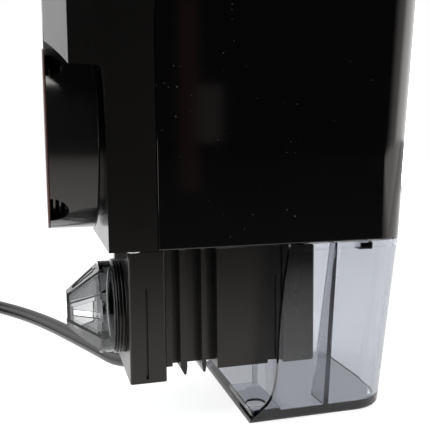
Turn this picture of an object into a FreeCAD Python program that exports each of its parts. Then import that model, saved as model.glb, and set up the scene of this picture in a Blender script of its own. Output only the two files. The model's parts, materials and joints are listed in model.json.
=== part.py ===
import FreeCAD, Part
import math
import os

# Magnet-mounted internal aquarium protein skimmer.
# Millimetres. Origin: centre of the magnet holder's glass face.
# +X away from the glass, +Y across the width, +Z up.

V = FreeCAD.Vector
os.makedirs("parts", exist_ok=True)

# ---------------------------------------------------------------- sizes
HALF_W = 33.0            # half of the body width
BODY_BOTTOM = -36.6      # underside of the upper body
BODY_H = 150.0           # height of the upper body
BODY_TOP = BODY_BOTTOM + BODY_H
CHAMBER_H = 63.2         # height of the lower chamber
FLOOR_Z = BODY_BOTTOM - CHAMBER_H
REAR_X = 0.6             # upper back plane
REAR_CHAMFER = 6.9       # chamfer of the rear vertical corners
RECESS_X = 18.3          # lower back plane, behind the magnet holder
RECESS_R = 40.0          # arch of the recess round the magnet holder
SEAM_X = 34.4            # joint between rear frame and front shell
GAP = 0.3                # working gap at the seams
FRONT_X_MID = 128.6      # front face at the body underside
FRONT_X_LOW = 121.0      # front face at the chamber floor
FRONT_X_TOP = 136.0      # front face at the body top
CORNER_R = 14.0          # front vertical corners, in plan
WALL = 2.2
CHAMBER_WALL = 2.0
CHAMBER_FLOOR = 3.2

PUCK_R = 31.6            # magnet holder
PUCK_L = 16.6
PAD_T = 0.8

PUMP_Z = BODY_BOTTOM - 25.1    # pump and strainer axis
PUMP_HALF_W = 22.0
PUMP_TOP = BODY_BOTTOM - 2.1
HEAD_X0 = 25.7
HEAD_X1 = 38.6
HEAD_BOTTOM = BODY_BOTTOM - 48.5
MOTOR_X0 = 57.0
MOTOR_X1 = 82.0
MOTOR_X2 = 94.4
MOTOR_BOTTOM = BODY_BOTTOM - 45.6
RUN_GAP = 0.06           # radial clearance of the turning rotor

TUBE_X = 92.0            # reaction tube axis
TUBE_R = 27.0
CUP_R = 30.0
CUP_H = 58.0

CORD_D = 7.4


# ---------------------------------------------------------------- helpers
def box(x0, y0, z0, x1, y1, z1):
    return Part.makeBox(x1 - x0, y1 - y0, z1 - z0, V(x0, y0, z0))


def cyl(x, y, z, r, h, axis=V(0, 0, 1)):
    return Part.makeCylinder(r, h, V(x, y, z), axis)


def cyl_x(x0, x1, y, z, r):
    return cyl(x0, y, z, r, x1 - x0, V(1, 0, 0))


def ring_x(x0, x1, y, z, r, r_in):
    return cyl_x(x0, x1, y, z, r).cut(cyl_x(x0 - 1, x1 + 1, y, z, r_in))


def ring_z(x, y, z0, z1, r, r_in):
    return cyl(x, y, z0, r, z1 - z0).cut(cyl(x, y, z0 - 1, r_in, z1 - z0 + 2))


def polygon(points):
    return Part.Face(Part.makePolygon([V(*p) for p in points + points[:1]]))


def prism_xz(points, y0, y1):
    return polygon([(x, y0, z) for x, z in points]).extrude(V(0, y1 - y0, 0))


def prism_xy(points, z0, z1):
    return polygon([(x, y, z0) for x, y in points]).extrude(V(0, 0, z1 - z0))


def plan_wire(xb, xf, half, r, z):
    """Rectangle in plan whose two front corners are rounded."""
    c = r * math.sin(math.radians(45))
    p = [V(xb, -half, z), V(xf - r, -half, z), V(xf, -half + r, z),
         V(xf, half - r, z), V(xf - r, half, z), V(xb, half, z)]
    m1 = V(xf - r + c, -half + r - c, z)
    m2 = V(xf - r + c, half - r + c, z)
    return Part.Wire([
        Part.makeLine(p[0], p[1]),
        Part.Arc(p[1], m1, p[2]).toShape(),
        Part.makeLine(p[2], p[3]),
        Part.Arc(p[3], m2, p[4]).toShape(),
        Part.makeLine(p[4], p[5]),
        Part.makeLine(p[5], p[0])])


def front_x(z):
    """Front face, which leans out as it rises."""
    if z < BODY_BOTTOM:
        return FRONT_X_MID + (z - BODY_BOTTOM) * (FRONT_X_MID - FRONT_X_LOW) / CHAMBER_H
    knee = BODY_BOTTOM + 90.0
    low = (134.6 - FRONT_X_MID) / 90.0
    if z < knee:
        return FRONT_X_MID + (z - BODY_BOTTOM) * low
    return 134.6 + (z - knee) * (FRONT_X_TOP - 134.6) / (BODY_TOP - knee)


def plan_loft(xb, inset, z_list, r_inset=None):
    wires = []
    r = CORNER_R - (inset if r_inset is None else r_inset)
    for z in z_list:
        wires.append(plan_wire(xb, front_x(z) - inset, HALF_W - inset, r, z))
    return Part.makeLoft(wires, True, True)


def octagon_wire(x, a, b):
    """Square of half width a with corners cut back to b, across X."""
    ring = [(-a, b), (-b, a), (b, a), (a, b), (a, -b), (b, -a), (-b, -a), (-a, -b)]
    pts = [V(x, y, PUMP_Z + z) for y, z in ring]
    return Part.makePolygon(pts + pts[:1])


def octagon_loft(sections):
    return Part.makeLoft([octagon_wire(*s) for s in sections], True, True)


def screw(x, y, z, axis, head_r, shank_r, length):
    head = cyl(x, y, z, head_r, 1.6, axis)
    shank = cyl(x, y, z, shank_r, length, axis)
    slot_a = box(-head_r * 0.6, -0.35, -0.1, head_r * 0.6, 0.35, 0.8)
    slot_b = box(-0.35, -head_r * 0.6, -0.1, 0.35, head_r * 0.6, 0.8)
    cross = slot_a.fuse(slot_b)
    cross.Placement = FreeCAD.Placement(V(x, y, z), FreeCAD.Rotation(V(0, 0, 1), axis))
    return head.fuse(shank).cut(cross)


def fuse(shapes):
    first = shapes[0]
    return first.fuse(shapes[1:]).removeSplitter() if len(shapes) > 1 else first


def save(name, shape):
    solids = shape.Solids
    if len(solids) == 1:
        shape = solids[0]
    if not shape.isValid():
        print("INVALID", name)
    bb = shape.optimalBoundingBox()
    print("%-22s solids %d  vol %9.1f  x %.1f..%.1f y %.1f..%.1f z %.1f..%.1f" % (
        name, len(solids), shape.Volume, bb.XMin, bb.XMax, bb.YMin, bb.YMax, bb.ZMin, bb.ZMax))
    shape.exportStep("parts/%s.step" % name)


# ---------------------------------------------------------------- upper body
# outlet nozzle, air line and transfer duct positions are shared by several pieces
NOZZLE_X = 30.0
NOZZLE_R = 4.5
AIR_X, AIR_Y = 24.3, -19.6
DUCT_Z0 = BODY_BOTTOM + 2.6
DUCT_Z1 = BODY_BOTTOM + 16.6

frame = box(REAR_X, -HALF_W, BODY_BOTTOM, SEAM_X - GAP, HALF_W, BODY_TOP)
for side in (-1, 1):
    frame = frame.cut(prism_xy(
        [(REAR_X - 1, side * (HALF_W + 1)), (REAR_X + REAR_CHAMFER + 1, side * (HALF_W + 1)),
         (REAR_X + REAR_CHAMFER, side * HALF_W), (REAR_X, side * (HALF_W - REAR_CHAMFER)),
         (REAR_X - 1, side * (HALF_W - REAR_CHAMFER))], BODY_BOTTOM - 1, BODY_TOP + 1))
arch_z = math.sqrt(RECESS_R ** 2 - HALF_W ** 2)
recess = cyl_x(REAR_X - 2, RECESS_X, 0, 0, RECESS_R)
recess = recess.common(box(-5, -HALF_W - 1, BODY_BOTTOM - 5, 60, HALF_W + 1, 60))
recess = recess.fuse(box(REAR_X - 2, -HALF_W - 1, BODY_BOTTOM - 2, RECESS_X, HALF_W + 1, arch_z))
recess = recess.removeSplitter()
arch_edges = []
for e in recess.Edges:
    b = e.BoundBox
    on_plane = abs(b.XMin - RECESS_X) < 1e-6 and abs(b.XMax - RECESS_X) < 1e-6
    if on_plane and b.ZMin > arch_z - 1e-3:
        arch_edges.append(e)
recess = recess.makeFillet(3.2, arch_edges)
frame = frame.cut(recess)
inner_x = RECESS_X + 2.6
frame = frame.cut(box(inner_x, -HALF_W + WALL, BODY_BOTTOM + 2.6, SEAM_X, HALF_W - WALL, BODY_TOP - WALL))
frame = frame.cut(box(REAR_X + WALL, -23.5, 42.6, inner_x + 1, 23.5, BODY_TOP - WALL))
# socket ring that carries the magnet holder
frame = frame.fuse(ring_x(PUCK_L, RECESS_X + 0.5, 0, 0, 27.5, 20.0))
frame = frame.cut(cyl(NOZZLE_X, 0, BODY_BOTTOM - 1, NOZZLE_R + 1.4, 6))
frame = frame.cut(cyl(AIR_X, AIR_Y, BODY_BOTTOM - 1, 2.5, 6))
for side in (-1, 1):
    frame = frame.cut(cyl_x(inner_x - 5, inner_x + 1, side * 12.0, 0, 1.6))
frame = frame.cut(cyl(AIR_X, AIR_Y, BODY_TOP - 4, 4.3, 6))
# overflow slots in the rear of the top
for k in range(5):
    y = -16.0 + 8.0 * k
    frame = frame.cut(box(REAR_X - 1, y - 1.6, BODY_TOP - 26, REAR_X + WALL + 1, y + 1.6, BODY_TOP - 12))
save("rear_frame", frame)

shell_z = [BODY_BOTTOM, BODY_BOTTOM + 90.0, BODY_TOP]
shell = plan_loft(SEAM_X, 0.0, shell_z)
cavity = plan_loft(SEAM_X - 1.0, WALL, [BODY_BOTTOM + WALL, BODY_BOTTOM + 90.0, BODY_TOP - WALL])
shell = shell.cut(cavity)
shell = shell.cut(box(84.0, -27.5, BODY_BOTTOM - 1, 121.5, 27.5, BODY_BOTTOM + WALL + 1))
shell = shell.cut(cyl(NOZZLE_X, 0, BODY_BOTTOM - 1, NOZZLE_R + 1.4, 6))
# top opening for the cup collar
shell = shell.cut(cyl(TUBE_X, 0, BODY_TOP - 4, TUBE_R - 2.0, 6))
# weir window in the front
WEIR_Z0 = BODY_TOP - 30.0
WEIR_Z1 = BODY_TOP - 10.0
shell = shell.cut(box(120.0, -15.0, WEIR_Z0, 150.0, 15.0, WEIR_Z1))
# outlet window in the far side
OUT_Z0 = BODY_TOP - 62.0
OUT_Z1 = BODY_TOP - 38.0
shell = shell.cut(box(46.0, HALF_W - 4, OUT_Z0, 66.0, HALF_W + 1, OUT_Z1))
save("front_shell", shell)

# transfer duct from the pump outlet to the reaction tube foot
duct = box(24.0, -7.0, DUCT_Z0, 61.0, 7.0, DUCT_Z1)
duct = duct.cut(box(25.4, -5.6, DUCT_Z0 + 1.4, 62.0, 5.6, DUCT_Z1 - 1.4))
duct = duct.cut(cyl(NOZZLE_X, 0, DUCT_Z0 - 1, NOZZLE_R + 0.2, 4))
save("transfer_duct", duct)

# ---------------------------------------------------------------- lower chamber
TOP_Z = BODY_BOTTOM - 0.3
ch_out = plan_loft(60.0, 0.0, [FLOOR_Z, TOP_Z])
edges = []
for e in ch_out.Edges:
    b = e.BoundBox
    if b.ZMax < FLOOR_Z + 1e-3 and b.XMin > 61.0:
        edges.append(e)
ch_out = ch_out.makeFillet(1.6, edges)
back_curve = [(80.7, 0.0), (78.7, -12.5), (77.0, -27.3), (76.3, -38.6), (75.4, -48.9), (74.7, -51.9),
              (73.4, -55.4), (71.1, -57.9), (68.6, -59.6), (66.2, -61.6), (65.8, -CHAMBER_H)]
spline = Part.BSplineCurve()
spline.interpolate([V(x, -40, BODY_BOTTOM + z) for x, z in back_curve])
back_face = Part.Face(Part.Wire([
    spline.toShape(),
    Part.makeLine(V(65.8, -40, FLOOR_Z), V(65.8, -40, FLOOR_Z - 3)),
    Part.makeLine(V(65.8, -40, FLOOR_Z - 3), V(50, -40, FLOOR_Z - 3)),
    Part.makeLine(V(50, -40, FLOOR_Z - 3), V(50, -40, BODY_BOTTOM + 3)),
    Part.makeLine(V(50, -40, BODY_BOTTOM + 3), V(80.3, -40, BODY_BOTTOM + 3)),
    Part.makeLine(V(80.3, -40, BODY_BOTTOM + 3), V(80.3, -40, BODY_BOTTOM))]))
ch_out = ch_out.cut(back_face.extrude(V(0, 80, 0)))
z_in = FLOOR_Z + CHAMBER_FLOOR
ch_in = plan_loft(40.0, CHAMBER_WALL, [z_in, TOP_Z + 1.0])
ch_in_edges = []
for e in ch_in.Edges:
    b = e.BoundBox
    if b.ZMax < z_in + 1e-3 and b.XMin > 41.0:
        ch_in_edges.append(e)
ch_in = ch_in.makeFillet(1.2, ch_in_edges)
chamber = ch_out.cut(ch_in)
# rib inside each side wall, deeper towards the floor
for side in (-1, 1):
    w = side * (HALF_W - CHAMBER_WALL + 0.5)
    rib = Part.makeLoft([
        Part.makePolygon([V(93.9, w, z_in - 0.5), V(95.9, w, z_in - 0.5), V(95.9, side * 20.2, z_in - 0.5),
                          V(93.9, side * 20.2, z_in - 0.5), V(93.9, w, z_in - 0.5)]),
        Part.makePolygon([V(97.4, w, TOP_Z - 0.4), V(99.0, w, TOP_Z - 0.4), V(99.0, side * 28.0, TOP_Z - 0.4),
                          V(97.4, side * 28.0, TOP_Z - 0.4), V(97.4, w, TOP_Z - 0.4)])], True, True)
    chamber = chamber.fuse(rib)
# seat pad beside the open back, with its guide post
pad = box(66.4, -HALF_W + CHAMBER_WALL - 0.5, z_in - 0.5, 77.4, -5.6, z_in + 1.2)
pad = pad.cut(cyl(70.4, -24.8, z_in + 0.3, 3.6, 4))
chamber = chamber.fuse(pad)
chamber = chamber.fuse(box(75.6, -7.4, z_in - 0.5, 77.4, -5.6, z_in + 12.0))
# fine groove under the rim
groove = plan_loft(60.0, -1.0, [TOP_Z - 2.2, TOP_Z - 1.8]).cut(plan_loft(50.0, 0.4, [TOP_Z - 4.0, TOP_Z]))
chamber = chamber.cut(groove)
chamber = chamber.removeSplitter()
save("lower_chamber", chamber)

# tabs on the chamber's side walls that plug up into the body
tabs = []
for side in (-1, 1):
    y_wall, y_step, y_in = side * (HALF_W - CHAMBER_WALL), side * 27.1, side * 25.6
    foot_y = sorted((y_wall, y_in))
    rise_y = sorted((y_step, y_in))
    tabs.append(fuse([
        box(107.6, foot_y[0], TOP_Z - 3.2, 113.0, foot_y[1], TOP_Z - 0.4),
        box(107.6, rise_y[0], TOP_Z - 0.5, 113.0, rise_y[1], BODY_BOTTOM + 7.0)]))
save("chamber_tabs", Part.makeCompound(tabs))

# ---------------------------------------------------------------- reaction tube, bubble plate, cup
TUBE_Z0 = BODY_BOTTOM + WALL
TUBE_Z1 = BODY_TOP - WALL - 0.3
tube = ring_z(TUBE_X, 0, TUBE_Z0 + 3.0, TUBE_Z1, TUBE_R, TUBE_R - 2.0)
foot = ring_z(TUBE_X, 0, TUBE_Z0, TUBE_Z0 + 3.0, TUBE_R + 1.8, TUBE_R - 4.5)
tube = fuse([tube, foot])
tube = tube.cut(box(TUBE_X - TUBE_R - 4, -5.4, DUCT_Z0 + 1.6, TUBE_X - 15, 5.4, DUCT_Z1 - 1.6))
save("reaction_tube", tube)

inlet = box(61.0, -7.0, DUCT_Z0, 65.8, 7.0, DUCT_Z1)
inlet = inlet.cut(box(60.0, -5.6, DUCT_Z0 + 1.4, 70.0, 5.6, DUCT_Z1 - 1.4))
inlet = inlet.cut(tube).cut(cyl(TUBE_X, 0, DUCT_Z0 - 2, TUBE_R - 1.0, 40))
save("duct_seal", inlet)

PLATE_Z = BODY_BOTTOM + 24.0
plate = cyl(TUBE_X, 0, PLATE_Z, TUBE_R - 2.0, 2.0)
plate_holes = []
for n, r in ((1, 0.0), (6, 6.0), (12, 12.0), (18, 18.0)):
    for k in range(n):
        a = 2 * math.pi * k / n
        plate_holes.append(cyl(TUBE_X + r * math.cos(a), r * math.sin(a), PLATE_Z - 1, 1.4, 4))
plate = plate.cut(Part.makeCompound(plate_holes))
plate = fuse([plate, ring_z(TUBE_X, 0, PLATE_Z - 3.0, PLATE_Z, TUBE_R - 2.2, TUBE_R - 4.0)])
save("bubble_plate", plate)

CUP_Z0 = BODY_TOP + 0.3
COLLAR_R = TUBE_R - 2.4
neck_top = CUP_Z0 + 40.0
cup = cyl(TUBE_X, 0, CUP_Z0, CUP_R, CUP_H)
cup = cup.cut(cyl(TUBE_X, 0, CUP_Z0 + 2.0, CUP_R - 2.0, CUP_H))
cup = fuse([
    cup,
    cyl(TUBE_X, 0, CUP_Z0 - 8.0, COLLAR_R, 8.5),
    Part.makeCone(COLLAR_R, 14.0, 12.0, V(TUBE_X, 0, CUP_Z0)),
    Part.makeCone(14.0, 11.5, neck_top - CUP_Z0 - 11.5, V(TUBE_X, 0, CUP_Z0 + 11.5))])
cup = cup.cut(Part.makeCone(COLLAR_R - 2.0, 12.0, 18.1, V(TUBE_X, 0, CUP_Z0 - 8.1)))
cup = cup.cut(Part.makeCone(12.0, 9.8, neck_top - CUP_Z0 - 8.0, V(TUBE_X, 0, CUP_Z0 + 9.9)))
DRAIN_Z = CUP_Z0 + 8.0
cup = cup.cut(cyl_x(TUBE_X + CUP_R - 4, TUBE_X + CUP_R + 2, 0, DRAIN_Z, 2.6))
SEAL_Z = CUP_Z0 - 5.0
cup = cup.cut(ring_z(TUBE_X, 0, SEAL_Z, SEAL_Z + 1.6, COLLAR_R + 1, COLLAR_R - 0.6))
save("collection_cup", cup)
save("cup_seal", ring_z(TUBE_X, 0, SEAL_Z, SEAL_Z + 1.6, TUBE_R - 2.05, COLLAR_R - 0.6))

LID_Z = CUP_Z0 + CUP_H + 0.1
lid = fuse([cyl(TUBE_X, 0, LID_Z, CUP_R + 1.6, 2.2), ring_z(TUBE_X, 0, LID_Z - 4.0, LID_Z + 0.2, CUP_R - 2.3, CUP_R - 4.2)])
lid = lid.makeFillet(0.8, [e for e in lid.Edges if e.BoundBox.ZMin > LID_Z + 2.0])
lid = lid.fuse(cyl(TUBE_X, 0, LID_Z + 2.0, 5.0, 4.2))
vents = []
for k in range(6):
    a = math.radians(60 * k + 30)
    vents.append(cyl(TUBE_X + 18 * math.cos(a), 18 * math.sin(a), LID_Z - 1, 1.5, 5))
lid = lid.cut(Part.makeCompound(vents))
save("cup_lid", lid)

drain = fuse([cyl_x(TUBE_X + CUP_R - 2.4, TUBE_X + CUP_R + 1.0, 0, DRAIN_Z, 2.55),
              cyl_x(TUBE_X + CUP_R + 0.1, TUBE_X + CUP_R + 2.4, 0, DRAIN_Z, 4.2)])
save("cup_drain_plug", drain)

# ---------------------------------------------------------------- weir, gate, outlet grille
weir_x = front_x(WEIR_Z0) - WALL
comb = box(weir_x - 3.0, -17.0, WEIR_Z0 - 2.0, weir_x - 0.1, 17.0, WEIR_Z1 + 2.0)
slots = []
for k in range(9):
    y = -13.6 + 3.4 * k
    slots.append(box(weir_x - 5, y - 0.9, WEIR_Z0 + 1.0, weir_x + 1, y + 0.9, WEIR_Z1 - 1.0))
comb = comb.cut(Part.makeCompound(slots))
comb = comb.fuse(box(weir_x - 2.0, -14.6, WEIR_Z0, weir_x + WALL - 0.4, 14.6, WEIR_Z0 + 1.2))
save("weir_comb", comb.removeSplitter())

gate = box(weir_x - 5.4, -15.5, WEIR_Z0 - 9.0, weir_x - 3.4, 15.5, WEIR_Z0 + 5.0)
gate = gate.fuse(box(weir_x - 8.4, -5.0, WEIR_Z0 + 2.0, weir_x - 5.0, 5.0, WEIR_Z0 + 4.0))
save("level_gate", gate.removeSplitter())

rails = []
for side in (-1, 1):
    y0, y1 = (15.7, 17.2) if side > 0 else (-17.2, -15.7)
    rails.append(box(weir_x - 6.2, y0, WEIR_Z0 - 11.0, weir_x - 3.0, y1, WEIR_Z0 + 18.0))
rails.append(box(weir_x - 6.2, -17.2, WEIR_Z0 - 13.0, weir_x - 3.0, 17.2, WEIR_Z0 - 10.9))
save("gate_rails", fuse(rails))

grille = box(46.0, HALF_W - WALL + 0.2, OUT_Z0, 66.0, HALF_W - 0.2, OUT_Z1)
holes = []
for k in range(5):
    x = 48.4 + 3.8 * k
    holes.append(box(x - 1.0, HALF_W - 5, OUT_Z0 + 2.4, x + 1.0, HALF_W + 2, OUT_Z1 - 2.4))
grille = grille.cut(Part.makeCompound(holes))
save("outlet_grille", grille)

# ---------------------------------------------------------------- air supply
AIR_TOP = BODY_TOP + 0.3
nozzle = fuse([box(21.3, -22.0, BODY_BOTTOM - 4.0, 25.4, -17.2, BODY_BOTTOM),
               cyl(AIR_X, AIR_Y, BODY_BOTTOM - 1.0, 2.3, 8.0)])
nozzle = nozzle.cut(cyl(AIR_X, AIR_Y, BODY_BOTTOM - 5.0, 0.8, 14.0))
save("air_nozzle", nozzle)

hose = ring_z(AIR_X, AIR_Y, BODY_BOTTOM + 3.0, BODY_TOP - 12.0, 3.2, 2.3)
save("air_hose", hose)

valve = fuse([cyl(AIR_X, AIR_Y, BODY_TOP - 18.0, 2.3, 12.0), cyl(AIR_X, AIR_Y, BODY_TOP - 12.0, 4.1, 12.4),
              cyl(AIR_X, AIR_Y, BODY_TOP, 6.0, 3.2)])
valve = valve.cut(cyl(AIR_X, AIR_Y, BODY_TOP - 19.0, 1.5, 30.0))
save("air_valve_body", valve)

knob = cyl(AIR_X, AIR_Y, BODY_TOP + 3.5, 5.6, 8.0)
flutes = []
for k in range(10):
    a = math.radians(36 * k)
    flutes.append(cyl(AIR_X + 6.1 * math.cos(a), AIR_Y + 6.1 * math.sin(a), BODY_TOP + 3.0, 0.9, 10.0))
knob = knob.cut(Part.makeCompound(flutes))
knob = knob.fuse(cyl(AIR_X, AIR_Y, BODY_TOP - 2.0, 1.44, 6.0))
knob = knob.cut(box(AIR_X - 0.5, AIR_Y, BODY_TOP + 10.9, AIR_X + 0.5, AIR_Y + 5.0, BODY_TOP + 12.0))
save("air_valve_knob", knob)

# ---------------------------------------------------------------- magnet holder
holder = cyl_x(PAD_T, PUCK_L, 0, 0, PUCK_R)
holder = holder.makeFillet(0.8, [e for e in holder.Edges if e.BoundBox.XMin > PUCK_L - 0.01])
holder = holder.cut(cyl_x(PAD_T + 1.4, PUCK_L - 2.0, 0, 0, 24.0))
holder = holder.cut(cyl_x(PUCK_L - 3.0, PUCK_L + 1.0, -12.0, 0, 1.55))
holder = holder.cut(cyl_x(PUCK_L - 3.0, PUCK_L + 1.0, 12.0, 0, 1.55))
notch_ribs = []
for ang in (228.5, 130.5):
    a = math.radians(ang)
    # half-round finger notch cut into the rim from the glass side
    ny, nz = math.cos(a), math.sin(a)
    notch = cyl(PAD_T, 26.0 * ny, 26.0 * nz, 6.0, 8.0, V(0, ny, nz))
    holder = holder.cut(notch)
    for k in (-1, 0, 1):
        x = PAD_T + 2.2 + 1.9 * (k + 1) - 1.2
        rib = cyl(PAD_T, 25.8 * ny, 25.8 * nz, 6.2, 2.6, V(0, ny, nz))
        notch_ribs.append(rib.common(box(x, -40, -40, x + 0.7, 40, 40)))
holder = holder.fuse(notch_ribs).removeSplitter()
save("magnet_holder", holder)

magnets = []
for ang in range(4):
    a = math.radians(45 + 90 * ang)
    magnets.append(cyl_x(PAD_T + 1.4, PAD_T + 11.4, 12.5 * math.cos(a), 12.5 * math.sin(a), 8.0))
save("holder_magnets", Part.makeCompound(magnets))

pad_disc = cyl_x(0.0, PAD_T, 0, 0, PUCK_R - 0.1)
save("glass_pad", pad_disc)

screws = []
for side in (-1, 1):
    screws.append(screw(inner_x + 1.6, side * 12.0, 0, V(-1, 0, 0), 2.9, 1.5, 8.4))
save("holder_screws", Part.makeCompound(screws))

# ---------------------------------------------------------------- pump
HZ = PUMP_Z
head = box(HEAD_X0, -PUMP_HALF_W, HEAD_BOTTOM, HEAD_X1, PUMP_HALF_W, PUMP_TOP)
head = head.makeFillet(1.0, [e for e in head.Edges if abs(e.BoundBox.XMax - e.BoundBox.XMin) < 1e-6
                             and abs(e.BoundBox.ZMax - e.BoundBox.ZMin) > 10])
for side in (-1, 1):
    y0, y1 = (PUMP_HALF_W - 1.6, PUMP_HALF_W + 1) if side > 0 else (-PUMP_HALF_W - 1, -PUMP_HALF_W + 1.6)
    head = head.cut(box(31.2, y0, BODY_BOTTOM - 47.0, 32.1, y1, BODY_BOTTOM - 14.8))
# raised seat that bears on the underside of the body
head = head.fuse(box(25.9, -21.6, PUMP_TOP - 0.5, 38.2, 21.6, BODY_BOTTOM)).removeSplitter()
head = head.cut(cyl(AIR_X, AIR_Y, BODY_BOTTOM - 1.1, 2.4, 2))
head = head.cut(cyl_x(27.4, HEAD_X1 + 1, 0, HZ, 15.6))
head = head.cut(cyl_x(HEAD_X0 - 1, 28.0, 0, HZ, 9.0))
head = head.cut(cyl(NOZZLE_X, 0, HZ, NOZZLE_R - 1.2, 40))
head = head.cut(cyl(NOZZLE_X, 0, PUMP_TOP - 3.0, NOZZLE_R, 10))
head = head.cut(cyl(27.6, AIR_Y, PUMP_TOP - 3.0, 1.1, 8))
save("pump_head", head)

flange = ring_x(21.7, HEAD_X0, 0, HZ, 17.7, 9.0)
for x in (22.5, 23.7, 24.9):
    flange = flange.cut(ring_x(x, x + 0.45, 0, HZ, 19.0, 16.8))
flange = flange.cut(ring_x(20.0, 22.1, 0, HZ, 20.0, 15.0))
save("inlet_flange", flange)

outlet = ring_z(NOZZLE_X, 0, PUMP_TOP - 3.0, DUCT_Z0 + 1.0, NOZZLE_R - 0.05, NOZZLE_R - 1.3)
save("outlet_nozzle", outlet)
seal = ring_z(NOZZLE_X, 0, BODY_BOTTOM + 0.4, BODY_BOTTOM + 2.4, NOZZLE_R + 1.4, NOZZLE_R - 0.05)
save("nozzle_seal", seal)

# motor housing: recessed core with two fins, then the main block
core = fuse([box(HEAD_X1, -19.0, BODY_BOTTOM - 44.4, 41.2, 19.0, PUMP_TOP),
             box(41.0, -15.5, BODY_BOTTOM - 44.4, MOTOR_X0, 15.5, PUMP_TOP)])
fins = []
for x0, x1, tip in ((43.6, 46.0, 46.9), (51.4, 53.0, 46.6)):
    half = PUMP_HALF_W - 0.4
    z_low = BODY_BOTTOM - 44.4
    fins.append(box(x0, -half, z_low, x1, half, PUMP_TOP))
    z_tip = BODY_BOTTOM - tip
    fins.append(prism_xz([(x0, z_low + 0.2), (x1 - 1.1, z_tip), (x1 - 0.4, z_tip), (x1, z_low + 0.2)], -half, half))
block = box(MOTOR_X0, -PUMP_HALF_W, MOTOR_BOTTOM, 76.2, PUMP_HALF_W, PUMP_TOP)
groove = box(76.2, -PUMP_HALF_W + 1.2, MOTOR_BOTTOM + 0.8, MOTOR_X1, PUMP_HALF_W - 1.2, PUMP_TOP)
small = box(79.6, -PUMP_HALF_W + 0.4, MOTOR_BOTTOM + 0.8, 80.6, PUMP_HALF_W - 0.4, BODY_BOTTOM - 13.0)
motor = fuse([core] + fins + [block, groove, small])
bore_r = 9.6
motor = motor.cut(cyl_x(HEAD_X1 - 1, 78.0, 0, HZ, bore_r))
motor = motor.cut(ring_x(60.0, 80.0, 0, HZ, 18.0, 12.6))

save("stator_coil", ring_x(60.0, 75.6, 0, HZ, 17.4, 12.6))

cap = box(MOTOR_X1, -PUMP_HALF_W, MOTOR_BOTTOM, MOTOR_X2, PUMP_HALF_W, PUMP_TOP)
cap = cap.makeFillet(1.4, [e for e in cap.Edges if e.BoundBox.XMin > MOTOR_X2 - 0.01])
cap = cap.cut(cyl_x(MOTOR_X1 - 1, MOTOR_X1 + 6, 0, HZ, 8.0))
for sy in (-1, 1):
    for z in (PUMP_TOP - 4.5, MOTOR_BOTTOM + 4.5):
        cap = cap.cut(cyl_x(MOTOR_X2 - 1.8, MOTOR_X2 + 1, sy * 17.5, z, 2.7))
save("motor_end_cap", cap)

SHAFT_R = 1.5
shaft = cyl_x(29.0, 77.4, 0, HZ, SHAFT_R)
save("pump_shaft", shaft)

front_bush = ring_x(27.5, 31.0, 0, HZ, 3.2, SHAFT_R)
spokes = fuse([box(27.5, -15.6, HZ - 0.9, 28.9, 15.6, HZ + 0.9), box(27.5, -0.9, HZ - 15.6, 28.9, 0.9, HZ + 15.6)])
spokes = spokes.cut(cyl_x(27.0, 30.0, 0, HZ, SHAFT_R))
spokes = spokes.common(cyl_x(27.0, 30.0, 0, HZ, 15.6))
save("front_bearing", front_bush.fuse(spokes).removeSplitter())
rear_bush = ring_x(74.0, 78.0, 0, HZ, 9.6, SHAFT_R)
save("rear_bearing", rear_bush)

rotor = ring_x(46.0, 73.4, 0, HZ, bore_r - 0.8, SHAFT_R + RUN_GAP)
save("rotor_magnet", rotor)
impeller = [ring_x(31.6, 46.0, 0, HZ, 3.0, SHAFT_R + RUN_GAP), ring_x(37.0, 38.4, 0, HZ, 12.0, SHAFT_R + RUN_GAP)]
for ring_r, count in ((6.0, 8), (10.2, 14)):
    for k in range(count):
        a = 2 * math.pi * k / count
        impeller.append(cyl_x(32.0, 37.2, ring_r * math.cos(a), HZ + ring_r * math.sin(a), 0.8))
save("needle_wheel", fuse(impeller))

head_seal = ring_x(38.6, 40.4, 0, HZ, 17.2, 15.6)
motor_groove = ring_x(38.5, 40.4, 0, HZ, 17.2, 15.6)
motor = motor.cut(motor_groove)
save("motor_housing", motor)
save("head_seal", head_seal)

pump_screws = []
for sy in (-1, 1):
    for z in (PUMP_TOP - 4.5, MOTOR_BOTTOM + 4.5):
        pump_screws.append(screw(MOTOR_X2 - 0.2, sy * 17.5, z, V(-1, 0, 0), 2.6, 1.3, 12.0))
save("motor_screws", Part.makeCompound(pump_screws))

# ---------------------------------------------------------------- strainer
out = octagon_loft([(5.4, 6.1, 3.4), (17.0, 15.0, 8.2), (18.6, 15.2, 8.4)])
inn = octagon_loft([(7.0, 5.1, 2.8), (17.4, 13.6, 7.4), (18.7, 13.8, 7.6)])
under_skin = octagon_loft([(5.0, 5.4, 2.8), (17.0, 14.6, 7.8), (18.7, 14.8, 8.0)])
strainer = out.cut(inn)
strainer = strainer.fuse(ring_x(17.0, 21.4, 0, HZ, 17.0, 14.6))
skin = out.cut(under_skin)
cuts = []
for k in range(4):
    # shallow panel in each of the four faces, with a slot along its middle
    panel = prism_xz([(7.6, -2.3), (15.4, -5.5), (15.4, 5.5), (7.6, 2.3)], 0.0, -30.0)
    slot = box(7.6, -30.0, -1.15, 16.4, 0.0, 1.15)
    for cutter in (panel, slot):
        cutter.rotate(V(0, 0, 0), V(1, 0, 0), 90 * k)
        cutter.translate(V(0, 0, HZ))
    cuts += [panel.common(skin), slot]
# wider inlet window in the far face
cuts.append(box(8.2, 0.0, HZ - 8.6, 15.6, 30.0, HZ - 0.6))
strainer = strainer.cut(cuts).removeSplitter()
save("strainer", strainer)

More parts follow.
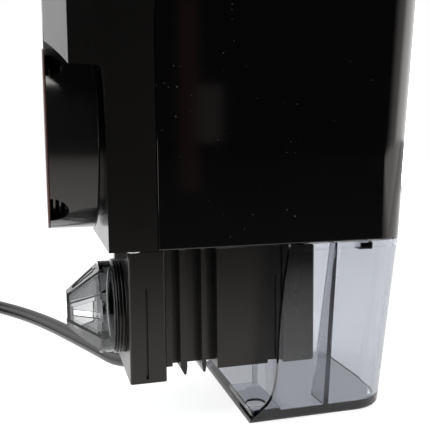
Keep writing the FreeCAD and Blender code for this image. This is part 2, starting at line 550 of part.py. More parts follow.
# ---------------------------------------------------------------- cord
TABLE = FLOOR_Z
CZ = TABLE + CORD_D / 2 + 0.05
route = [
    (54.0, 8.0, BODY_BOTTOM - 44.4),
    (33.0, 24.0, TABLE + 4.6),
    (17.5, 67.0, CZ),
    (-8.0, 124.0, CZ),
    (-37.0, 164.0, CZ),
    (-68.0, 187.0, CZ),
]


def unit(v):
    return v.multiply(1.0 / v.Length)


def rounded(points, label):
    """Straight runs joined by tangent arcs."""
    pts = [V(*p) for p in points]
    parts = []
    start = pts[0]
    for i in range(1, len(pts) - 1):
        a, b, c = pts[i - 1], pts[i], pts[i + 1]
        u = unit(a.sub(b))
        w = unit(c.sub(b))
        half = (math.pi - u.getAngle(w)) / 2
        t = 0.45 * min(a.sub(b).Length, c.sub(b).Length)
        p = b.add(V(u).multiply(t))
        q = b.add(V(w).multiply(t))
        bis = unit(u.add(w))
        radius = t / math.tan(half)
        centre = b.add(V(bis).multiply(radius / math.cos(half)))
        mid = centre.sub(V(bis).multiply(radius))
        print("%s bend %d: turn %.1f deg radius %.1f mm" % (label, i, math.degrees(2 * half), radius))
        parts.append(Part.makeLine(start, p))
        parts.append(Part.Arc(p, mid, q).toShape())
        start = q
    parts.append(Part.makeLine(start, pts[-1]))
    return Part.Wire(parts)


def cord_tube(points, label):
    wire = rounded(points, label)
    direction = V(*points[1]).sub(V(*points[0]))
    profile = Part.Wire([Part.makeCircle(CORD_D / 2, V(*points[0]), direction)])
    solid = wire.makePipeShell([profile], True, False)
    want = math.pi * CORD_D ** 2 / 4 * wire.Length
    print("%s length %.1f mm, volume / section x length = %.4f" % (label, wire.Length, solid.Volume / want))
    return solid


cord = cord_tube(route, "cord_tube")
save("cord_tube", cord)

COIL_C = (-90.5, 151.0)
COIL_R = 42.0
coil_h = 2 * CORD_D + 1.0
coil = ring_z(COIL_C[0], COIL_C[1], TABLE + 0.05, TABLE + 0.05 + coil_h, COIL_R + 1.5 * CORD_D, COIL_R - 1.5 * CORD_D)
coil = coil.makeFillet(3.0, coil.Edges)
save("cord_coil", coil)

tail_route = [
    (COIL_C[0] - COIL_R, COIL_C[1] - 2.0, CZ),
    (COIL_C[0] - COIL_R - 1.0, COIL_C[1] - 42.0, CZ),
    (COIL_C[0] - COIL_R + 9.0, COIL_C[1] - 78.0, CZ),
]
tail = cord_tube(tail_route, "cord_tail")
save("cord_tail", tail)

# gland moulded on the underside of the motor core
g0 = V(*route[0])
gd = unit(V(*route[1]).sub(g0))
gland = Part.makeCone(6.2, 4.9, 9.0, g0.sub(V(gd).multiply(3.0)), gd)
gland = gland.cut(box(30, -30, BODY_BOTTOM - 44.4, 80, 30, BODY_BOTTOM))
bore = Part.makeCylinder(CORD_D / 2, 20.0, g0.sub(V(gd).multiply(8.0)), gd)
gland = gland.cut(bore).cut(motor)
save("cord_gland", gland)

# plug: moulded body with two round pins, lying on the surface
pd = unit(V(*tail_route[-1]).sub(V(*tail_route[-2])))
p0 = V(*tail_route[-1])
PLUG_Z = TABLE + 9.1
along = math.degrees(math.atan2(pd.y, pd.x))


def place(shape):
    shape.rotate(V(0, 0, 0), V(0, 0, 1), along)
    shape.translate(V(p0.x, p0.y, PLUG_Z))
    return shape


boot = Part.makeCone(4.6, 6.4, 14.0, V(-1.0, 0, CZ - PLUG_Z), V(1, 0, 0))
boot = boot.cut(cyl_x(-2.0, 1.0, 0, CZ - PLUG_Z, CORD_D / 2))
boot = boot.common(box(-5, -20, -9.0, 20, 20, 9.0))
body = prism_xy([(10, -7.5), (16, -12.5), (38, -17.0), (38, 17.0), (16, 12.5), (10, 7.5)], -9.0, 9.0)
body = body.makeFillet(2.4, [e for e in body.Edges if e.BoundBox.XMax < 37.9])
plug = boot.fuse(body).removeSplitter()
save("plug_body", place(plug))
pins = []
for side in (-1, 1):
    pin = cyl_x(36.0, 57.0, side * 9.5, 0, 2.4)
    pin = pin.makeFillet(1.0, [e for e in pin.Edges if e.BoundBox.XMin > 56.9])
    pins.append(pin)
save("plug_pins", place(Part.makeCompound(pins)))

# ---------------------------------------------------------------- small body parts
bumpers = []
for side in (-1, 1):
    bumpers.append(cyl_x(-0.0, REAR_X, side * 20.0, BODY_TOP - 34.0, 4.0))
save("glass_bumpers", Part.makeCompound(bumpers))

case_screws = []
for y in (-27.0, 27.0):
    case_screws.append(screw(27.0, y, BODY_BOTTOM - 1.0, V(0, 0, 1), 2.6, 1.4, 9.0))
save("case_screws", Part.makeCompound(case_screws))
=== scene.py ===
import json
import math

import bmesh
import bpy
from mathutils import Matrix, Vector


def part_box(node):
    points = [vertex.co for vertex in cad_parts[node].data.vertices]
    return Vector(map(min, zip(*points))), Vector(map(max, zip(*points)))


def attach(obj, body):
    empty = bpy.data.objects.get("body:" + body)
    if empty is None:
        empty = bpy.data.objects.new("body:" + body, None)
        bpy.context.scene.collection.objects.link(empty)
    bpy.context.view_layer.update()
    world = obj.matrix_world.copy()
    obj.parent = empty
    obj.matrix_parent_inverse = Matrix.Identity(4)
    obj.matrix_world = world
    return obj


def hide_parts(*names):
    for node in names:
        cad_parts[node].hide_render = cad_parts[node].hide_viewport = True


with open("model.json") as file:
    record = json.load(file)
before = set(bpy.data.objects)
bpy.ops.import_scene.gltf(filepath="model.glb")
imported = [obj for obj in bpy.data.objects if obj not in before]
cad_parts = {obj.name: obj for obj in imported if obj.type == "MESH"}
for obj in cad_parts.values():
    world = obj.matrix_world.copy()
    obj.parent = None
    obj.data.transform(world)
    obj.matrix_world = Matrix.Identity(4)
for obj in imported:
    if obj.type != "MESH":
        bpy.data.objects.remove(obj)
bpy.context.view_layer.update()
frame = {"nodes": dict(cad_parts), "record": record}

# Internal aquarium skimmer on a pale surface. Sizes are in millimetres unless a name says otherwise.
# Origin: centre of the magnet holder's glass face, +X away from the glass, +Z up.
MM = 0.001
NODES = frame["nodes"]
# The chamber's underside stands on the surface.
FLOOR_Z = (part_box("lower_chamber")[0] / MM).z
UP = Vector((0.0, 0.0, 1.0))
WHITE = (1.0, 1.0, 1.0)
CORD_W = 7.4
CORD_T = 4.6

# ---------------------------------------------------------------- camera
CAMERA_AT = Vector((-0.7, -231.2, -3.9))
CAMERA_YAW = math.radians(15.3)
CAMERA_PITCH = math.radians(6.0)
CAMERA_ROLL = math.radians(0.5)


def add_camera():
    forward = Vector((math.sin(CAMERA_YAW) * math.cos(CAMERA_PITCH),
                      math.cos(CAMERA_YAW) * math.cos(CAMERA_PITCH),
                      -math.sin(CAMERA_PITCH)))
    right = Vector((math.cos(CAMERA_YAW), -math.sin(CAMERA_YAW), 0.0))
    down = forward.cross(right)
    side = right * math.cos(CAMERA_ROLL) + down * math.sin(CAMERA_ROLL)
    up = right * math.sin(CAMERA_ROLL) - down * math.cos(CAMERA_ROLL)
    data = bpy.data.cameras.new("camera")
    data.sensor_width = 36.0
    data.lens = 52.05
    data.clip_start = 0.01
    camera = bpy.data.objects.new("camera", data)
    bpy.context.scene.collection.objects.link(camera)
    rotation = Matrix((side, up, -forward)).transposed()
    camera.matrix_world = Matrix.Translation(CAMERA_AT * MM) @ rotation.to_4x4()
    bpy.context.scene.camera = camera


# ---------------------------------------------------------------- node helpers
def feed(links, socket, value):
    """Gives a socket a number, a colour without its alpha, or another node's output."""
    if isinstance(value, float):
        socket.default_value = value
    elif isinstance(value, tuple):
        socket.default_value = (*value, 1.0)
    else:
        links.new(value, socket)


def new_material(name):
    material = bpy.data.materials.new(name)
    material.use_nodes = True
    nodes = material.node_tree.nodes
    return material, nodes, material.node_tree.links, nodes["Principled BSDF"]


def position(nodes, links, stretch=(1.0, 1.0, 1.0)):
    """Texture coordinates in object space, the same on every piece, scaled by stretch."""
    coordinate = nodes.new("ShaderNodeTexCoord")
    mapping = nodes.new("ShaderNodeMapping")
    mapping.inputs["Scale"].default_value = stretch
    links.new(coordinate.outputs["Object"], mapping.inputs["Vector"])
    return mapping.outputs["Vector"]


def noise(nodes, links, where, scale, detail=4.0):
    texture = nodes.new("ShaderNodeTexNoise")
    texture.inputs["Scale"].default_value = scale
    texture.inputs["Detail"].default_value = detail
    texture.inputs["Roughness"].default_value = 0.55
    links.new(where, texture.inputs["Vector"])
    return texture.outputs["Fac"]


def ramp(nodes, links, value, low, high, at_low, at_high):
    """Value remapped so that low gives at_low and high gives at_high, clamped."""
    remap = nodes.new("ShaderNodeMapRange")
    remap.inputs["From Min"].default_value = low
    remap.inputs["From Max"].default_value = high
    remap.inputs["To Min"].default_value = at_low
    remap.inputs["To Max"].default_value = at_high
    links.new(value, remap.inputs["Value"])
    return remap.outputs["Result"]


def calculate(nodes, links, operation, first, second):
    """One maths node on two values, each a number or another node's output."""
    node = nodes.new("ShaderNodeMath")
    node.operation = operation
    feed(links, node.inputs[0], first)
    feed(links, node.inputs[1], second)
    return node.outputs[0]


def brighter(nodes, links, first, second):
    return calculate(nodes, links, "MAXIMUM", first, second)


def product(nodes, links, first, second):
    return calculate(nodes, links, "MULTIPLY", first, second)


def mix_colour(nodes, links, factor, first, second):
    mix = nodes.new("ShaderNodeMix")
    mix.data_type = "RGBA"
    links.new(factor, mix.inputs["Factor"])
    feed(links, mix.inputs["A"], first)
    feed(links, mix.inputs["B"], second)
    return mix.outputs["Result"]


def bump(nodes, links, height, strength, distance_mm, under=None):
    node = nodes.new("ShaderNodeBump")
    node.inputs["Strength"].default_value = strength
    node.inputs["Distance"].default_value = distance_mm * MM
    links.new(height, node.inputs["Height"])
    if under is not None:
        links.new(under, node.inputs["Normal"])
    return node.outputs["Normal"]


# ---------------------------------------------------------------- materials
DUST_COLOUR = (0.35, 0.34, 0.33)
# Reflections on moulded pieces are a little warm.
GLOSS_TINT = (1.0, 0.95, 0.91)


def dusty(nodes, links, where, tint, strength):
    """Tint with small pale specks, which come in patches."""
    specks = nodes.new("ShaderNodeTexVoronoi")
    specks.inputs["Scale"].default_value = 420.0
    links.new(where, specks.inputs["Vector"])
    size = ramp(nodes, links, noise(nodes, links, where, scale=700.0), 0.35, 0.75, 0.0, 0.16)
    speck = calculate(nodes, links, "LESS_THAN", specks.outputs["Distance"], size)
    patches = ramp(nodes, links, noise(nodes, links, where, scale=30.0), 0.5, 0.7, 0.0, strength)
    return mix_colour(nodes, links, product(nodes, links, speck, patches), tint, DUST_COLOUR)


def moulded(name, colour, rough, spread=0.06, grain=0.02, grain_scale=900.0, dust=0.0, specular=0.5):
    """Moulded plastic or rubber: faint colour drift, fine surface grain and uneven gloss.

    The roughness varies by spread; grain is the height of the fine bumps; dust adds pale specks.
    """
    material, nodes, links, shader = new_material(name)
    where = position(nodes, links)
    drift = noise(nodes, links, where, scale=45.0)
    darker = tuple(c * 0.8 for c in colour)
    lighter = tuple(min(1.0, c * 1.25) for c in colour)
    tint = mix_colour(nodes, links, drift, darker, lighter)
    if dust > 0.0:
        tint = dusty(nodes, links, where, tint, dust)
    links.new(tint, shader.inputs["Base Color"])
    smears = noise(nodes, links, position(nodes, links, stretch=(1.0, 1.0, 0.35)), scale=60.0, detail=6.0)
    gloss = ramp(nodes, links, smears, 0.3, 0.7, rough - spread / 2, rough + spread / 2)
    links.new(gloss, shader.inputs["Roughness"])
    fine = noise(nodes, links, where, grain_scale, detail=2.0)
    waves = noise(nodes, links, where, scale=18.0, detail=1.0)
    wavy = bump(nodes, links, waves, strength=0.10, distance_mm=0.4)
    grained = bump(nodes, links, fine, strength=grain, distance_mm=0.05, under=wavy)
    links.new(grained, shader.inputs["Normal"])
    shader.inputs["Specular IOR Level"].default_value = specular
    shader.inputs["Specular Tint"].default_value = (*GLOSS_TINT, 1.0)
    return material


def see_through(name, passes, rough=0.03, ior=1.49, waviness=0.05):
    """Clear moulded plastic that darkens with depth. passes is the share of light left after 2 mm."""
    material, nodes, links, shader = new_material(name)
    where = position(nodes, links)
    drift = noise(nodes, links, where, scale=35.0, detail=5.0)
    links.new(ramp(nodes, links, drift, 0.35, 0.7, rough * 0.4, rough * 1.6), shader.inputs["Roughness"])
    waves = noise(nodes, links, where, scale=22.0, detail=1.0)
    wavy = bump(nodes, links, waves, strength=waviness, distance_mm=0.5)
    scratches = noise(nodes, links, position(nodes, links, stretch=(1.0, 1.0, 0.06)), scale=900.0, detail=2.0)
    scratched = bump(nodes, links, scratches, strength=0.02, distance_mm=0.02, under=wavy)
    links.new(scratched, shader.inputs["Normal"])
    shader.inputs["Base Color"].default_value = (*WHITE, 1.0)
    shader.inputs["Transmission Weight"].default_value = 1.0
    shader.inputs["IOR"].default_value = ior
    loss = [-math.log(p) / (2.0 * MM) for p in passes]
    # Just above the strongest loss, so that no channel of the colour reaches 0.
    density = max(loss) * 1.02
    depth = nodes.new("ShaderNodeVolumeAbsorption")
    depth.inputs["Density"].default_value = density
    depth.inputs["Color"].default_value = (*(1.0 - v / density for v in loss), 1.0)
    output = next(n for n in nodes if n.type == "OUTPUT_MATERIAL")
    links.new(depth.outputs["Volume"], output.inputs["Volume"])
    return material


def metal(name, colour, rough, stretch=(1.0, 1.0, 1.0), scale=400.0):
    """Metal with fine lines, drawn out by stretch."""
    material, nodes, links, shader = new_material(name)
    lines = noise(nodes, links, position(nodes, links, stretch), scale, detail=5.0)
    darker = tuple(c * 0.75 for c in colour)
    lighter = tuple(min(1.0, c * 1.1) for c in colour)
    links.new(mix_colour(nodes, links, lines, darker, lighter), shader.inputs["Base Color"])
    links.new(ramp(nodes, links, lines, 0.3, 0.7, rough * 0.8, rough * 1.3), shader.inputs["Roughness"])
    links.new(bump(nodes, links, lines, strength=0.06, distance_mm=0.05), shader.inputs["Normal"])
    shader.inputs["Metallic"].default_value = 1.0
    return material


MATERIALS = {
    "satin_black": moulded("satin_black", (0.006, 0.0055, 0.0052), rough=0.26, grain=0.04, specular=0.4),
    "gloss_black": moulded("gloss_black", (0.0025, 0.0022, 0.0024), rough=0.07, spread=0.03, grain=0.008,
                           dust=0.5),
    "black_plastic": moulded("black_plastic", (0.012, 0.0115, 0.011), rough=0.38, grain=0.06),
    "pump_black": moulded("pump_black", (0.0062, 0.0057, 0.0054), rough=0.28, grain=0.05, specular=0.42),
    "smoked_clear": see_through("smoked_clear", (0.655, 0.665, 0.69)),
    "clear_plastic": see_through("clear_plastic", (0.93, 0.945, 0.95), rough=0.04),
    "black_rubber": moulded("black_rubber", (0.012, 0.012, 0.012), rough=0.62, grain=0.12,
                            grain_scale=1600.0),
    "silicone": see_through("silicone", (0.75, 0.75, 0.72), rough=0.35, ior=1.41),
    "brown_pad": moulded("brown_pad", (0.055, 0.018, 0.012), rough=0.55, grain=0.1),
    "magnet_metal": metal("magnet_metal", (0.20, 0.20, 0.21), rough=0.4),
    "steel": metal("steel", (0.62, 0.62, 0.60), rough=0.28),
    "copper_winding": metal("copper_winding", (0.50, 0.19, 0.08), rough=0.35, stretch=(6.0, 1.0, 1.0),
                            scale=600.0),
    "shaft_ceramic": moulded("shaft_ceramic", (0.78, 0.77, 0.72), rough=0.18, grain=0.01),
    "cord_jacket": moulded("cord_jacket", (0.014, 0.014, 0.017), rough=0.22, spread=0.05, grain=0.03,
                           grain_scale=500.0),
    "pin_brass": metal("pin_brass", (0.72, 0.62, 0.42), rough=0.24),
}
# Pieces whose finish differs from the rest of their slot.
OWN_FINISH = {
    "magnet_holder": moulded("holder_black", (0.007, 0.0066, 0.0064), rough=0.17, spread=0.04, grain=0.015),
    "strainer": see_through("strainer_smoke", (0.34, 0.345, 0.35), rough=0.05, waviness=0.12),
    # A low refractive index keeps the small tabs from showing as dark blocks.
    "chamber_tabs": see_through("tab_smoke", (0.80, 0.81, 0.83), ior=1.1),
}
# Thin-walled pieces that keep their moulded edges as drawn.
CRISP = ("strainer",)
# The usual rounding of an edge, and the pieces that have more.
EDGE_ROUND = 0.35
WIDER_ROUND = {"rear_frame": 0.6, "front_shell": 0.5, "pump_head": 0.5, "motor_housing": 0.45}


# ---------------------------------------------------------------- mesh helpers
def finish_mesh(name, bm, body, slot, smooth):
    """Turns a bmesh in millimetres into a piece that rides on body.

    Edges that turn by more than smooth, in degrees, stay sharp.
    """
    bmesh.ops.recalc_face_normals(bm, faces=bm.faces)
    bmesh.ops.scale(bm, vec=(MM, MM, MM), verts=bm.verts)
    mesh = bpy.data.meshes.new(name)
    bm.to_mesh(mesh)
    bm.free()
    mesh.materials.append(MATERIALS[slot])
    piece = bpy.data.objects.new(name, mesh)
    bpy.context.scene.collection.objects.link(piece)
    mesh.shade_smooth()
    mesh.set_sharp_from_angle(angle=math.radians(smooth))
    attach(piece, body)
    return piece


def soften(obj, width):
    """Rounds the hard edges of a piece, as a mould does."""
    weld = obj.modifiers.new("weld", "WELD")
    weld.merge_threshold = 0.002 * MM
    flat = obj.modifiers.new("flat", "DECIMATE")
    flat.decimate_type = "DISSOLVE"
    flat.angle_limit = math.radians(0.6)
    edge = obj.modifiers.new("edge", "BEVEL")
    edge.width = width * MM
    edge.segments = 2
    edge.limit_method = "ANGLE"
    edge.angle_limit = math.radians(32.0)
    edge.use_clamp_overlap = True
    normals = obj.modifiers.new("normals", "WEIGHTED_NORMAL")
    normals.weight = 100
    normals.keep_sharp = True
    obj.data.shade_smooth()


def skin_rings(bm, rings):
    """Joins each ring of vertices to the next and closes both ends."""
    for first, second in zip(rings, rings[1:]):
        for k in range(len(first)):
            n = (k + 1) % len(first)
            bm.faces.new((first[k], first[n], second[n], second[k]))
    bm.faces.new(rings[0])
    bm.faces.new(rings[-1])


def sweep(bm, line, section, roll):
    """A closed tube along line, in millimetres.

    section is its outline, across and up. roll(share) turns it about the line, 0 lying flat.
    """
    rings = []
    for k, point in enumerate(line):
        ahead = (line[min(k + 1, len(line) - 1)] - line[max(k - 1, 0)]).normalized()
        side = ahead.cross(UP).normalized()
        over = side.cross(ahead)
        turn = roll(k / (len(line) - 1))
        a = side * math.cos(turn) + over * math.sin(turn)
        b = over * math.cos(turn) - side * math.sin(turn)
        rings.append([bm.verts.new(point + a * u + b * v) for u, v in section])
    skin_rings(bm, rings)


def sleeve_along(bm, line, radii, sides=28):
    """A round sleeve about the start of line, in millimetres, with one radius for each point it passes."""
    rings = []
    for k, radius in enumerate(radii):
        ahead = (line[k + 1] - line[k]).normalized()
        side = ahead.cross(UP).normalized()
        over = side.cross(ahead)
        ring = []
        for n in range(sides):
            turn = 2 * math.pi * n / sides
            ring.append(bm.verts.new(line[k] + radius * (side * math.cos(turn) + over * math.sin(turn))))
        rings.append(ring)
    skin_rings(bm, rings)


def rounded_square(turn, squareness):
    """A point at this turn on an outline that is a circle for squareness 2 and nears a square above it."""
    u, v = math.cos(turn), math.sin(turn)
    bulge = (abs(u) ** squareness + abs(v) ** squareness) ** (-1.0 / squareness)
    return u * bulge, v * bulge


def eased(value, start, over):
    """0 up to start, then a smooth rise to 1 that takes this much over."""
    share = min(1.0, max(0.0, (value - start) / over))
    return share * share * (3.0 - 2.0 * share)


# ---------------------------------------------------------------- cord
# Height of the axis of a cord that stands on edge.
CZ = FLOOR_Z + CORD_W / 2 + 0.05
# Out of the gland, down behind the pump and away over the surface.
ROUTE = [
    (54.0, 8.0, -81.0),
    (33.0, 24.0, -95.4),
    (17.5, 67.0, CZ - 0.3),
    (-8.0, 124.0, CZ - 0.2),
    (-37.0, 164.0, CZ),
]
# The spare length stands on edge in two layers: wound inwards below, then outwards on top.
COIL_AT = (-90.5, 151.0)
COIL_OUT = 49.0
COIL_IN = 38.6
COIL_FROM, COIL_TO = 58.0, 1620.0
COIL_STEPS = 70
LAYER = CORD_W + 0.1
# Where the coil climbs to the upper layer and how much of it that takes, as shares of all its turning.
CLIMB_START, CLIMB_OVER = 0.46, 0.08
TAIL = [
    (-139.6, 128.0, CZ + 6.4),
    (-138.0, 106.0, CZ + 0.8),
    (-132.5, 90.0, CZ),
    (-124.5, 74.0, CZ),
]
# The cord leaves the gland half turned, lies so at first and then turns to stand on edge.
ROLL_AT_GLAND, ROLL_ON_EDGE = math.radians(38), math.radians(90)
ROLL_START, ROLL_OVER = 0.095, 0.07
# How far round each core the groove between the two cores reaches.
WAIST = math.radians(54)


def coil_points():
    points = []
    for k in range(COIL_STEPS + 1):
        share = k / COIL_STEPS
        angle = math.radians(COIL_FROM + (COIL_TO - COIL_FROM) * share)
        radius = COIL_IN + (COIL_OUT - COIL_IN) * abs(2.0 * share - 1.0)
        height = CZ + LAYER * eased(share, CLIMB_START, CLIMB_OVER)
        points.append((COIL_AT[0] + radius * math.cos(angle), COIL_AT[1] + radius * math.sin(angle), height))
    return points


def smooth_line(points):
    """The line in metres that a NURBS spline of order 3 draws through control points in millimetres."""
    data = bpy.data.curves.new("route", "CURVE")
    data.dimensions = "3D"
    data.resolution_u = 8
    spline = data.splines.new("NURBS")
    spline.points.add(len(points) - 1)
    for target, point in zip(spline.points, points):
        target.co = (*(c * MM for c in point), 1.0)
    spline.order_u = 3
    spline.use_endpoint_u = True
    carrier = bpy.data.objects.new("route", data)
    mesh = bpy.data.meshes.new_from_object(carrier)
    line = [v.co.copy() for v in mesh.vertices]
    bpy.data.meshes.remove(mesh)
    bpy.data.objects.remove(carrier)
    bpy.data.curves.remove(data)
    return line


def twin_section(count=14):
    """Outline of two round cores moulded side by side, count steps round each."""
    core = CORD_T / 2
    apart = CORD_W / 2 - core
    outline = []
    for side in (1, -1):
        for k in range(count + 1):
            angle = -math.pi + WAIST + (2 * math.pi - 2 * WAIST) * k / count
            outline.append((side * (apart + core * math.cos(angle)), side * core * math.sin(angle)))
    return outline


def cord_roll(share):
    return ROLL_AT_GLAND + (ROLL_ON_EDGE - ROLL_AT_GLAND) * eased(share, ROLL_START, ROLL_OVER)


def spaced(line, step, count):
    """The first count points that lie step apart along line, in its unit."""
    points = [line[0]]
    gone, k = 0.0, 0
    for n in range(1, count):
        while gone + (line[k + 1] - line[k]).length < n * step:
            gone += (line[k + 1] - line[k]).length
            k += 1
        reach = line[k + 1] - line[k]
        points.append(line[k] + reach * ((n * step - gone) / reach.length))
    return points


# Strain relief: its points and their spacing, its radius and how much that shrinks.
RELIEF_POINTS, RELIEF_STEP = 56, 0.45
RELIEF_RADIUS, RELIEF_TAPER = 5.9, 1.9
# Height of its ridges, how fast they follow each other, and the shares of its length between plain ends.
RIDGE_HEIGHT, RIDGE_RATE = 0.28, 0.9
RIDGED_FROM, RIDGED_TO = 0.12, 0.9


def make_relief(line):
    """Ridged strain relief, tapering along the first of the cord, whose line is in metres."""
    bm = bmesh.new()
    radii = []
    for k in range(RELIEF_POINTS - 1):
        share = k / (RELIEF_POINTS - 2)
        ridge = RIDGE_HEIGHT * math.cos(k * RIDGE_RATE) if RIDGED_FROM < share < RIDGED_TO else 0.0
        radii.append(RELIEF_RADIUS - RELIEF_TAPER * share + ridge)
    sleeve_along(bm, spaced([p / MM for p in line], RELIEF_STEP, RELIEF_POINTS), radii)
    piece = finish_mesh("cord_relief", bm, "skimmer", "black_rubber", smooth=60.0)
    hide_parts("cord_gland")


# Band round the coil: where it sits on the coil, half its size across the turns and upwards.
TIE_AT = math.radians(255.0)
TIE_HALF_OUT, TIE_HALF_UP = 9.6, 7.75
TIE_SQUARENESS = 4.0
TIE_SIDES = 48
# Section of the band: scale of the outline, distance along the coil.
TIE_SECTION = [(0.93, -5.0), (1.0, -5.0), (1.004, -4.2), (1.004, 4.2), (1.0, 5.0), (0.93, 5.0)]


def make_tie():
    """Band round the coil's turns."""
    out = Vector((math.cos(TIE_AT), math.sin(TIE_AT), 0.0))
    along = Vector((-math.sin(TIE_AT), math.cos(TIE_AT), 0.0))
    centre = Vector((*COIL_AT, FLOOR_Z + TIE_HALF_UP + 0.1)) + out * (COIL_IN + COIL_OUT) / 2
    bm = bmesh.new()
    rings = []
    for k in range(TIE_SIDES):
        u, v = rounded_square(2 * math.pi * k / TIE_SIDES, TIE_SQUARENESS)
        base = out * (TIE_HALF_OUT * u) + UP * (TIE_HALF_UP * v)
        rings.append([bm.verts.new(centre + base * scale + along * shift) for scale, shift in TIE_SECTION])
    for k, first in enumerate(rings):
        second = rings[(k + 1) % TIE_SIDES]
        for n in range(len(TIE_SECTION)):
            m = (n + 1) % len(TIE_SECTION)
            bm.faces.new((first[n], first[m], second[m], second[n]))
    return finish_mesh("coil_tie", bm, "skimmer", "black_rubber", smooth=50.0)


# The cord end of the plug, above the surface, and the way its pins point.
PLUG_AT = (-123.5, 73.0, 9.1)
PLUG_TURN = math.atan2(-36.0, 10.0)
# Plug outline along its length: distance, half width, half height, squareness, height of the axis.
PLUG_PROFILE = [
    (-1.0, 4.3, 3.6, 2.0, -5.3),
    (14.0, 6.6, 5.4, 2.2, -3.0),
    (17.5, 12.2, 8.2, 3.0, -0.7),
    (20.0, 13.3, 9.0, 3.6, 0.0),
    (36.6, 16.6, 9.0, 5.0, 0.0),
    (38.0, 16.2, 8.5, 5.0, 0.0),
]
PLUG_STEPS = 118
PLUG_SIDES = 40
# Grooves round the boot and the grip: start, end, half depth, how fast they follow each other.
BOOT_GROOVES = (1.0, 13.0, 0.45, 2.6)
GRIP_GROOVES = (21.5, 33.5, 0.55, 2.2)
# The grip's grooves are shallower on the plug's broad faces.
GRIP_ON_TOP = 0.6


def grooves(x, start, end, half_depth, rate):
    """How far grooves lower the surface at x, as a number of 0 or less."""
    return half_depth * math.cos(x * rate) - half_depth if start < x < end else 0.0


def make_plug():
    """Moulded plug: a ringed boot and a flat body with grip ridges."""
    bm = bmesh.new()
    rings = []
    for k in range(PLUG_STEPS + 1):
        x = PLUG_PROFILE[0][0] + (PLUG_PROFILE[-1][0] - PLUG_PROFILE[0][0]) * k / PLUG_STEPS
        n = next(i for i in range(len(PLUG_PROFILE) - 1) if x <= PLUG_PROFILE[i + 1][0] + 1e-6)
        low, high = PLUG_PROFILE[n], PLUG_PROFILE[n + 1]
        share = (x - low[0]) / (high[0] - low[0])
        wide, tall, square, lift = (a + (b - a) * share for a, b in zip(low[1:], high[1:]))
        boot = grooves(x, *BOOT_GROOVES)
        grip = grooves(x, *GRIP_GROOVES)
        ring = []
        for m in range(PLUG_SIDES):
            u, v = rounded_square(2 * math.pi * m / PLUG_SIDES, square)
            y = (wide + boot + grip) * u
            z = lift + (tall + boot + grip * GRIP_ON_TOP) * v
            ring.append(bm.verts.new((x, y, z)))
        rings.append(ring)
    skin_rings(bm, rings)
    place = Matrix.Translation((PLUG_AT[0], PLUG_AT[1], FLOOR_Z + PLUG_AT[2]))
    bmesh.ops.transform(bm, matrix=place @ Matrix.Rotation(PLUG_TURN, 4, "Z"), verts=bm.verts)
    piece = finish_mesh("plug_shell", bm, "skimmer", "cord_jacket", smooth=55.0)
    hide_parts("plug_body")
    return piece


def make_cord():
    line = smooth_line(ROUTE + coil_points() + TAIL)
    bm = bmesh.new()
    sweep(bm, [p / MM for p in line], twin_section(), cord_roll)
    piece = finish_mesh("power_cord", bm, "skimmer", "cord_jacket", smooth=80.0)
    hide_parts("cord_tube", "cord_coil", "cord_tail")
    make_plug()
    make_tie()
    make_relief(line)


# ---------------------------------------------------------------- surroundings
# The floor's light fades between these depths, in front of the object.
FALL_OFF = (-330.0, -60.0)
# It comes back to the right of the object, between these distances along a slanting direction.
BESIDE = (150.0, 350.0)
BESIDE_WAY = (1.0, 0.6, 0.0)
# Floor where it is dark and where it is lit: base colour, and strength as light and to the camera.
DARK_BASE, LIT_BASE = (0.03, 0.03, 0.03), (0.35, 0.35, 0.35)
DARK_LIGHT, LIT_LIGHT = 0.01, 0.9
DARK_SEEN, LIT_SEEN = 1.0, 0.86
# Strength as light at the right in front.
RIGHT_FRONT_LIGHT = 1.8
FLOOR_HALF = 6000.0
# World: parts of a direction, backwards and to the right, between which it brightens, and its strengths.
WORLD_BACK = (-0.2, 0.5)
WORLD_FRONT_LIGHT, WORLD_BACK_LIGHT = 0.012, 1.0
WORLD_RIGHT = (0.52, 0.95)
WORLD_RIGHT_LIGHT = 3.6


def camera_or_light(nodes, links, for_light, for_camera):
    """for_camera where the camera sees the surroundings directly, for_light as what lights the object."""
    path = nodes.new("ShaderNodeLightPath")
    pick = nodes.new("ShaderNodeMix")
    links.new(path.outputs["Is Camera Ray"], pick.inputs["Factor"])
    feed(links, pick.inputs["A"], for_light)
    feed(links, pick.inputs["B"], for_camera)
    return pick.outputs["Result"]


def floor_material():
    """A white sweep. As a light it is even behind the object, dark in front of it and bright at its right."""
    material, nodes, links, shader = new_material("floor")
    shader.inputs["Roughness"].default_value = 0.9
    shader.inputs["Specular IOR Level"].default_value = 0.0
    shader.inputs["Emission Color"].default_value = (*WHITE, 1.0)
    coordinate = nodes.new("ShaderNodeTexCoord")
    split = nodes.new("ShaderNodeSeparateXYZ")
    links.new(coordinate.outputs["Object"], split.inputs["Vector"])
    depth = ramp(nodes, links, split.outputs["Y"], FALL_OFF[0] * MM, FALL_OFF[1] * MM, 0.0, 1.0)
    slant = nodes.new("ShaderNodeVectorMath")
    slant.operation = "DOT_PRODUCT"
    slant.inputs[1].default_value = BESIDE_WAY
    links.new(coordinate.outputs["Object"], slant.inputs[0])
    beside = ramp(nodes, links, slant.outputs["Value"], BESIDE[0] * MM, BESIDE[1] * MM, 0.0, 1.0)
    lit = brighter(nodes, links, depth, beside)
    links.new(mix_colour(nodes, links, lit, DARK_BASE, LIT_BASE), shader.inputs["Base Color"])
    in_front = ramp(nodes, links, depth, 0.0, 1.0, RIGHT_FRONT_LIGHT, 0.0)
    even = ramp(nodes, links, lit, 0.0, 1.0, DARK_LIGHT, LIT_LIGHT)
    light = brighter(nodes, links, even, product(nodes, links, beside, in_front))
    seen = ramp(nodes, links, lit, 0.0, 1.0, DARK_SEEN, LIT_SEEN)
    links.new(camera_or_light(nodes, links, light, seen), shader.inputs["Emission Strength"])
    return material


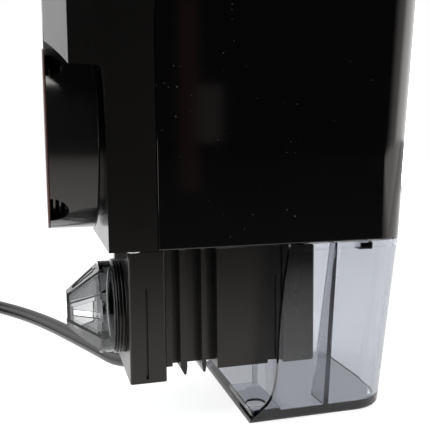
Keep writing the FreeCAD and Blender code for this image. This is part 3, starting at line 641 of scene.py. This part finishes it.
def add_floor():
    """The surface, just under the pieces that stand on it."""
    bm = bmesh.new()
    bmesh.ops.create_grid(bm, x_segments=1, y_segments=1, size=FLOOR_HALF)
    for vert in bm.verts:
        vert.co.z = FLOOR_Z - 0.05
    bmesh.ops.scale(bm, vec=(MM, MM, MM), verts=bm.verts)
    mesh = bpy.data.meshes.new("floor")
    bm.to_mesh(mesh)
    bm.free()
    mesh.materials.append(floor_material())
    floor = bpy.data.objects.new("floor", mesh)
    bpy.context.scene.collection.objects.link(floor)


def add_world():
    """White to the camera.

    As a light it is bright behind the object, brighter still at its far right and dark in front of it,
    so that dark gloss stays dark.
    """
    world = bpy.data.worlds.new("studio")
    bpy.context.scene.world = world
    world.use_nodes = True
    nodes, links = world.node_tree.nodes, world.node_tree.links
    background = nodes["Background"]
    background.inputs["Color"].default_value = (*WHITE, 1.0)
    coordinate = nodes.new("ShaderNodeTexCoord")
    split = nodes.new("ShaderNodeSeparateXYZ")
    links.new(coordinate.outputs["Generated"], split.inputs["Vector"])
    back = ramp(nodes, links, split.outputs["Y"], *WORLD_BACK, WORLD_FRONT_LIGHT, WORLD_BACK_LIGHT)
    sideways = ramp(nodes, links, split.outputs["X"], *WORLD_RIGHT, 0.0, 1.0)
    right = product(nodes, links, product(nodes, links, sideways, sideways), WORLD_RIGHT_LIGHT)
    light = brighter(nodes, links, back, right)
    links.new(camera_or_light(nodes, links, light, 1.0), background.inputs["Strength"])


# Name, place, point it faces, width and height, watts, colour.
LIGHTS = [
    ("left_box", (-900.0, -40.0, 160.0), (0.0, 0.0, 20.0), (500.0, 900.0), 11.0, (0.93, 0.97, 1.0)),
    ("left_card", (-640.0, -420.0, -70.0), (0.0, 0.0, -60.0), (220.0, 160.0), 0.5, WHITE),
    ("top_box", (150.0, 0.0, 900.0), (60.0, 0.0, 0.0), (700.0, 500.0), 8.0, WHITE),
    ("right_box", (800.0, 500.0, 250.0), (90.0, 0.0, 0.0), (300.0, 700.0), 6.0, WHITE),
    # Faint cards that the polished front mirrors: a brownish strip and a paler pane beside it.
    ("brown_strip", (200.0, -700.0, 71.0), (60.0, -33.0, 30.0), (26.0, 264.0), 0.0022, (1.0, 0.55, 0.42)),
    ("pale_pane", (230.0, -700.0, 47.0), (60.0, -33.0, 30.0), (33.0, 80.0), 0.0016, (1.0, 0.92, 0.88)),
]


def add_light(name, at, look_at, size, power, colour):
    data = bpy.data.lights.new(name, "AREA")
    data.shape = "RECTANGLE"
    data.size, data.size_y = size[0] * MM, size[1] * MM
    data.energy = power
    data.color = colour
    light = bpy.data.objects.new(name, data)
    bpy.context.scene.collection.objects.link(light)
    light.location = Vector(at) * MM
    light.rotation_euler = (Vector(look_at) - Vector(at)).to_track_quat("-Z", "Y").to_euler()


def dress_frame():
    """Finish and edges of the CAD pieces that are still shown."""
    for node, obj in NODES.items():
        if obj.hide_render:
            continue
        slot_name = next(p["material_slot"] for p in frame["record"]["subparts"] if p["node"] == node)
        obj.data.materials.clear()
        obj.data.materials.append(OWN_FINISH.get(node, MATERIALS[slot_name]))
        if node not in CRISP:
            soften(obj, WIDER_ROUND.get(node, EDGE_ROUND))


bpy.context.scene.view_settings.view_transform = "Standard"
add_camera()
add_world()
add_floor()
for row in LIGHTS:
    add_light(*row)
make_cord()
dress_frame()
